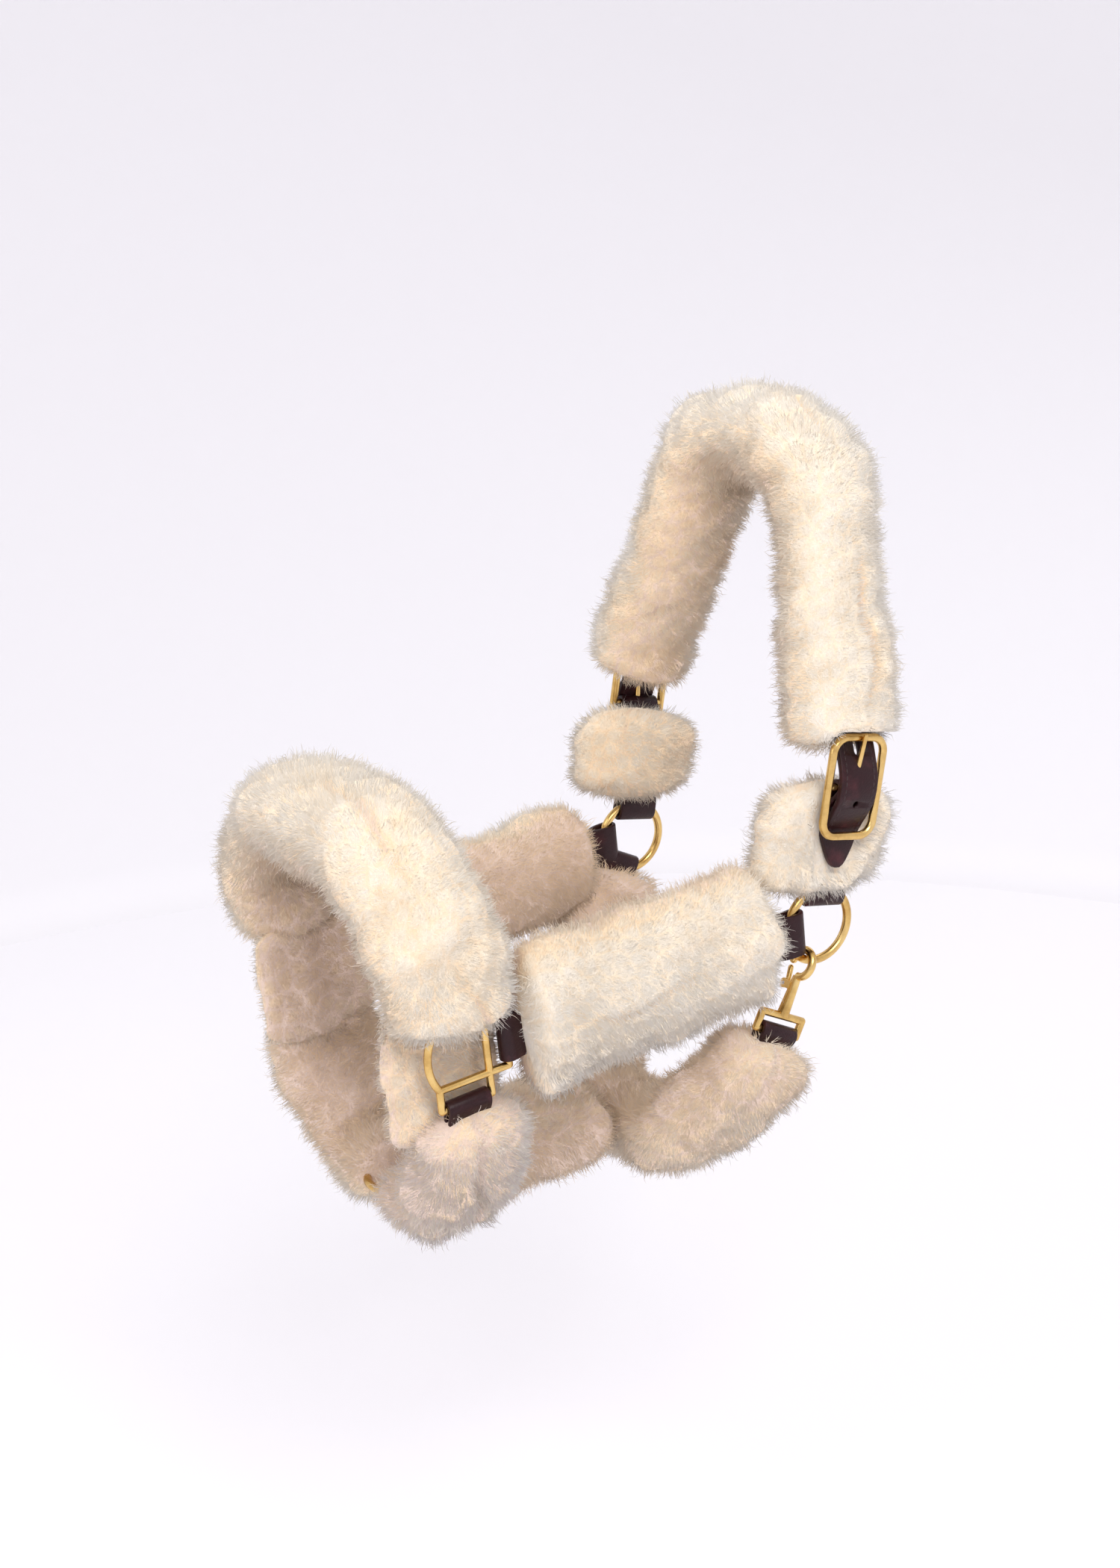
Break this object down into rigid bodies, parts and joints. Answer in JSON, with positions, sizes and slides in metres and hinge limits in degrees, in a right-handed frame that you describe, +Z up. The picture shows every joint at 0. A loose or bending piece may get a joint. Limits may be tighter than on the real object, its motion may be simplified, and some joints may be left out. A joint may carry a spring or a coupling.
{
  "type": "sheepskin-sleeved leather headcollar (halter) for a horse",
  "caption": "Leather horse headcollar with fluffy sheepskin sleeves, buckled crown, cheek rings, noseband squares, chin ring and throat lash with a snap hook, all in brass.",
  "frame": {"origin": "the poll seat, on the underside of the crown sleeve at the top of its arch", "axes": "+X towards the horse's nose, +Y towards its left (near) side, +Z up; the headcollar mirrors across Y = 0 except for the snap hook and the far end of the throat lash"},
  "size_m": [0.3616, 0.2602, 0.4637],
  "materials": {
    "sheepskin": "fluffy, matte",
    "leather": "semi-gloss",
    "brass": "polished",
    "steel": "bright"
  },
  "bodies": {
    "headcollar": {"crown_strap": "leather", "nose_strap": "leather", "throat_strap": "leather", "gullet_strap": "leather", "snap_hook": "brass", "snap_gate_pin": "steel", "snap_gate_spring": "steel", "crown_sleeve": "sheepskin", "nose_sleeve": "sheepskin", "throat_sleeve": "sheepskin", "gullet_sleeve": "sheepskin", "near_upper_cheek_strap": "leather", "far_upper_cheek_strap": "leather", "near_cheek_strap": "leather", "far_cheek_strap": "leather", "near_chin_strap": "leather", "far_chin_strap": "leather", "near_buckle_frame": "brass", "far_buckle_frame": "brass", "near_noseband_square": "brass", "far_noseband_square": "brass", "near_upper_cheek_sleeve": "sheepskin", "far_upper_cheek_sleeve": "sheepskin", "near_cheek_sleeve": "sheepskin", "far_cheek_sleeve": "sheepskin", "near_chin_sleeve": "sheepskin", "far_chin_sleeve": "sheepskin", "near_square_pad": "sheepskin", "far_square_pad": "sheepskin"},
    "near_prong": {"near_buckle_prong": "brass"},
    "far_prong": {"far_buckle_prong": "brass"},
    "near_ring": {"near_cheek_ring": "brass"},
    "far_ring": {"far_cheek_ring": "brass"},
    "lead_ring": {"chin_ring": "brass"},
    "gate": {"snap_gate": "brass"}
  },
  "joints": [
    {"name": "near_prong_turn", "type": "hinge", "parent": "headcollar", "child": "near_prong", "pos_m": [0.02239, 0.106, -0.14982], "axis": [-0.989, 0, -0.1478], "range_deg": [0, 8]},
    {"name": "far_prong_turn", "type": "hinge", "parent": "headcollar", "child": "far_prong", "pos_m": [0.02239, -0.106, -0.14982], "axis": [0.989, 0, 0.1478], "range_deg": [0, 8]},
    {"name": "near_ring_spin", "type": "hinge", "parent": "headcollar", "child": "near_ring", "pos_m": [0.03481, 0.094, -0.2329], "axis": [0, 1, 0], "continuous": true},
    {"name": "far_ring_spin", "type": "hinge", "parent": "headcollar", "child": "far_ring", "pos_m": [0.03481, -0.094, -0.2329], "axis": [0, 1, 0], "continuous": true},
    {"name": "lead_ring_spin", "type": "hinge", "parent": "headcollar", "child": "lead_ring", "pos_m": [0.2562, 0, -0.36917], "axis": [0.1146, 0, 0.9934], "continuous": true},
    {"name": "snap_gate_swing", "type": "hinge", "parent": "headcollar", "child": "gate", "pos_m": [0.05108, 0.0884, -0.26779], "axis": [-0.9063, 0, -0.4226], "range_deg": [0, 20], "stiffness_Nm_per_rad": 0.02}
  ]
}
